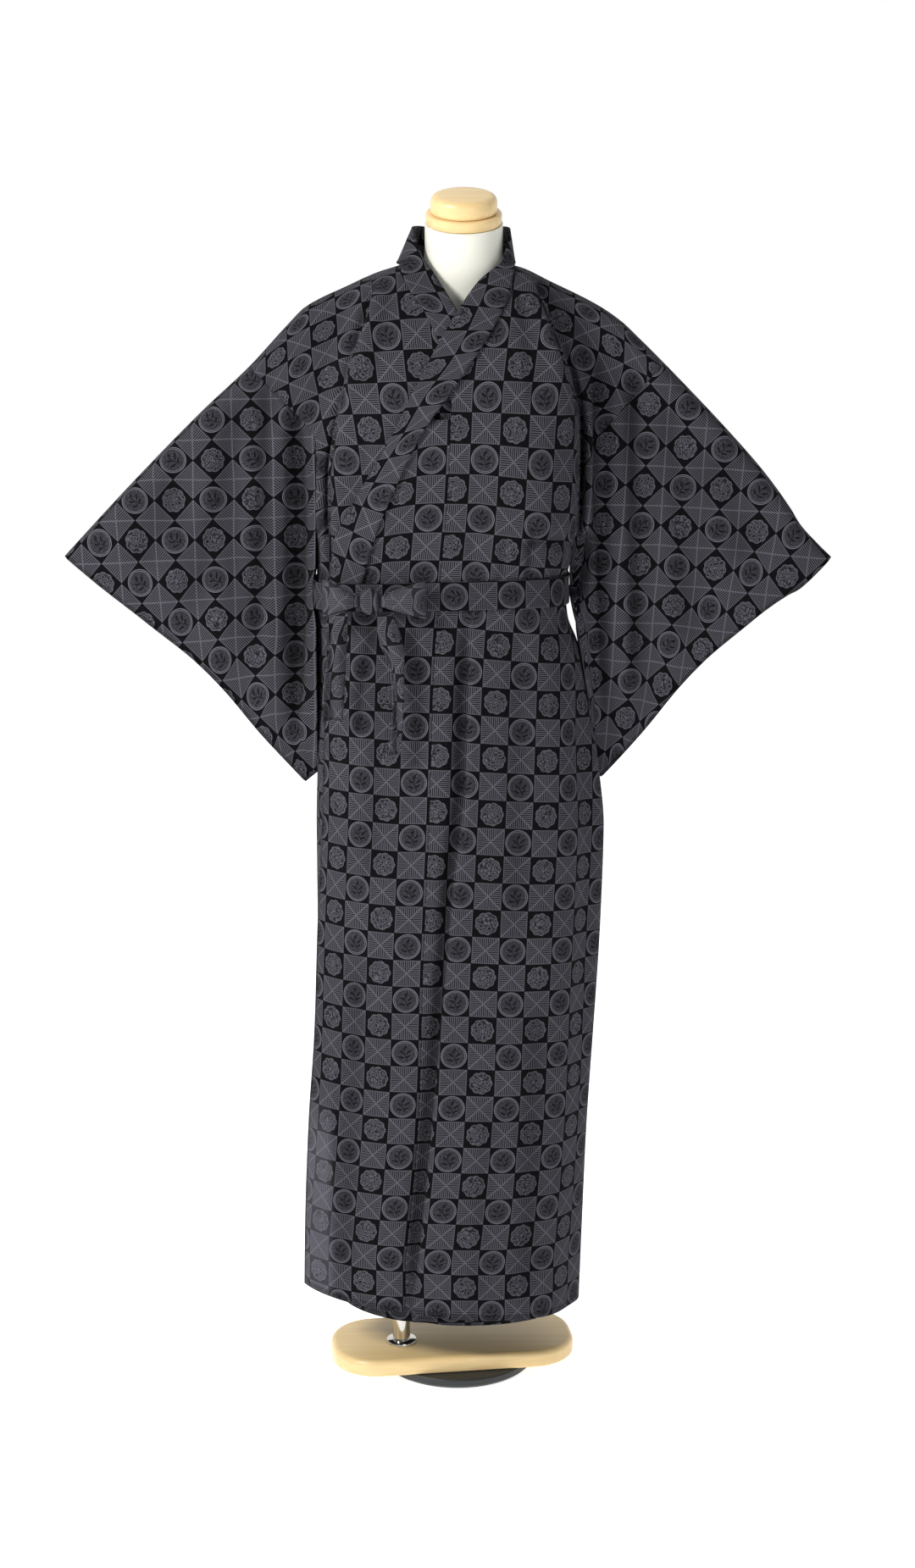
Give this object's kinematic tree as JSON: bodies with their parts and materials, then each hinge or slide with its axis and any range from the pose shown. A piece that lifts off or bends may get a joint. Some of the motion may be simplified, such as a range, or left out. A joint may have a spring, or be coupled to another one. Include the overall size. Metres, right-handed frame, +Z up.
{
  "type": "cotton yukata robe with its sash on a limbless dress form and stand",
  "caption": "Man's printed cotton yukata robe, left front over right, tied with its matching narrow sash on a dress form that stands on a wooden board and a flat disc.",
  "frame": {"origin": "centre of the object's box in plan, on the floor under the foot disc", "axes": "+Z up; the robe faces -Y; +X is the wearer's left"},
  "size_m": [1.009, 0.2778, 1.6094],
  "materials": {
    "printed_cotton": "plain-weave cotton printed with a slate-grey and near-black check",
    "form_cover": "smooth off-white stretched jersey",
    "light_wood": "satin-lacquered pale wood",
    "chrome_tube": "polished",
    "black_steel": "semi-matt black powder coat"
  },
  "bodies": {
    "root": {"body_left": "printed_cotton", "body_right": "printed_cotton", "overlap_left": "printed_cotton", "overlap_right": "printed_cotton", "sleeve_left": "printed_cotton", "sleeve_right": "printed_cotton", "collar": "printed_cotton", "sash_band": "printed_cotton", "sash_knot": "printed_cotton", "sash_loop_left": "printed_cotton", "sash_loop_right": "printed_cotton", "sash_tail_left": "printed_cotton", "sash_tail_right": "printed_cotton", "form_torso": "form_cover", "neck_cap_lower": "light_wood", "neck_cap_upper": "light_wood", "pole": "chrome_tube", "pole_flange": "chrome_tube", "base_board": "light_wood", "foot_disc": "black_steel"}
  },
  "joints": []
}
